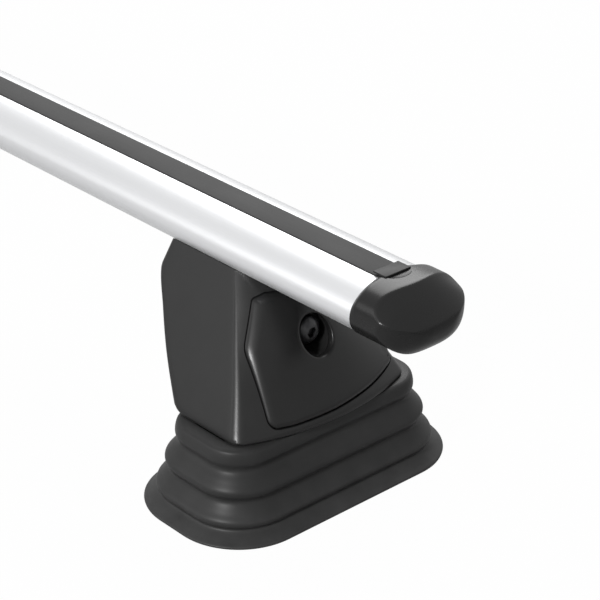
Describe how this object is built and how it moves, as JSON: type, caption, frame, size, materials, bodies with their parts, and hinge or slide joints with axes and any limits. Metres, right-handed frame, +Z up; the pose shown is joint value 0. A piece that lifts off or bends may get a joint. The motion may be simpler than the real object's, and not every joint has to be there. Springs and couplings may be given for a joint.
{
  "type": "roof rack crossbar",
  "caption": "Oval aluminium roof rack bar with a rubber strip and end caps, on two moulded feet that clamp along it and stand in bellows boots.",
  "frame": {"origin": "on the roof under the middle of the bar, halfway between the two feet", "axes": "+X along the bar towards the end that the picture shows, +Z up, +Y across the bar"},
  "size_m": [1.258, 0.1534, 0.1307],
  "materials": {
    "anodised_bar": "silver anodised, fine lengthwise grain",
    "strip_rubber": "extruded black rubber, satin",
    "cap_plastic": "black moulded plastic, fine grain",
    "flap_plastic": "black moulded plastic, fine grain",
    "tower_plastic": "black moulded plastic, textured",
    "cover_plastic": "black moulded plastic, finely textured",
    "boot_rubber": "black moulded rubber, satin",
    "frame_steel": "black powder coat",
    "plated_steel": "zinc plated",
    "black_screw": "black oxide",
    "cast_zinc": "die cast zinc",
    "pad_rubber": "black rubber, matte"
  },
  "bodies": {
    "crossbar": {"bar": "anodised_bar", "top_strip": "strip_rubber", "right_end_cap": "cap_plastic", "left_end_cap": "cap_plastic"},
    "right_foot": {"right_tower_housing": "tower_plastic", "right_boot": "boot_rubber", "right_tower_frame": "frame_steel", "right_base_plate": "plated_steel", "right_base_pad": "pad_rubber", "right_frame_bolts": "plated_steel", "right_housing_screws": "plated_steel", "right_clamp_washer": "plated_steel", "right_roof_washer": "plated_steel"},
    "right_flap": {"right_slot_flap": "flap_plastic"},
    "right_cover": {"right_front_cover": "cover_plastic"},
    "right_screw": {"right_clamp_screw": "black_screw"},
    "right_wedge_block": {"right_wedge": "cast_zinc"},
    "right_anchor_block": {"right_anchor": "plated_steel"},
    "right_roof_bolt": {"right_roof_screw": "plated_steel"},
    "left_foot": {"left_tower_housing": "tower_plastic", "left_boot": "boot_rubber", "left_tower_frame": "frame_steel", "left_base_plate": "plated_steel", "left_base_pad": "pad_rubber", "left_frame_bolts": "plated_steel", "left_housing_screws": "plated_steel", "left_clamp_washer": "plated_steel", "left_roof_washer": "plated_steel"},
    "left_flap": {"left_slot_flap": "flap_plastic"},
    "left_cover": {"left_front_cover": "cover_plastic"},
    "left_screw": {"left_clamp_screw": "black_screw"},
    "left_wedge_block": {"left_wedge": "cast_zinc"},
    "left_anchor_block": {"left_anchor": "plated_steel"},
    "left_roof_bolt": {"left_roof_screw": "plated_steel"}
  },
  "joints": [
    {"name": "right_foot_slide", "type": "slide", "parent": "crossbar", "child": "right_foot", "axis": [1, 0, 0], "range_m": [-0.15, 0.012]},
    {"name": "right_flap_lift", "type": "slide", "parent": "crossbar", "child": "right_flap", "axis": [0, 0, 1], "range_m": [0, 0.02]},
    {"name": "right_cover_pull", "type": "slide", "parent": "right_foot", "child": "right_cover", "axis": [1, 0, 0], "range_m": [0, 0.04]},
    {"name": "right_clamp_turn", "type": "hinge", "parent": "right_foot", "child": "right_screw", "pos_m": [0.5375, 0, 0.0785], "axis": [1, 0, 0], "range_deg": [0, 1800]},
    {"name": "right_wedge_draw", "type": "slide", "parent": "right_foot", "child": "right_wedge_block", "axis": [1, 0, 0], "range_m": [-0.005, 0]},
    {"name": "right_anchor_lift", "type": "slide", "parent": "right_foot", "child": "right_anchor_block", "axis": [0, 0, 1], "range_m": [0, 0.001]},
    {"name": "right_roof_turn", "type": "hinge", "parent": "right_foot", "child": "right_roof_bolt", "pos_m": [0.5375, 0, 0.01], "axis": [0, 0, 1], "continuous": true},
    {"name": "left_foot_slide", "type": "slide", "parent": "crossbar", "child": "left_foot", "axis": [-1, 0, 0], "range_m": [-0.15, 0.012]},
    {"name": "left_flap_lift", "type": "slide", "parent": "crossbar", "child": "left_flap", "axis": [0, 0, 1], "range_m": [0, 0.02]},
    {"name": "left_cover_pull", "type": "slide", "parent": "left_foot", "child": "left_cover", "axis": [-1, 0, 0], "range_m": [0, 0.04]},
    {"name": "left_clamp_turn", "type": "hinge", "parent": "left_foot", "child": "left_screw", "pos_m": [-0.5375, 0, 0.0785], "axis": [-1, 0, 0], "range_deg": [0, 1800]},
    {"name": "left_wedge_draw", "type": "slide", "parent": "left_foot", "child": "left_wedge_block", "axis": [-1, 0, 0], "range_m": [-0.005, 0]},
    {"name": "left_anchor_lift", "type": "slide", "parent": "left_foot", "child": "left_anchor_block", "axis": [0, 0, 1], "range_m": [0, 0.001]},
    {"name": "left_roof_turn", "type": "hinge", "parent": "left_foot", "child": "left_roof_bolt", "pos_m": [-0.5375, 0, 0.01], "axis": [0, 0, 1], "continuous": true}
  ],
  "couplings": [
    {"joint": "right_clamp_turn", "follows": "right_wedge_draw", "rad_per_m": -6283.2},
    {"joint": "right_anchor_lift", "follows": "right_wedge_draw", "ratio": -0.2},
    {"joint": "left_clamp_turn", "follows": "left_wedge_draw", "rad_per_m": -6283.2},
    {"joint": "left_anchor_lift", "follows": "left_wedge_draw", "ratio": -0.2}
  ]
}
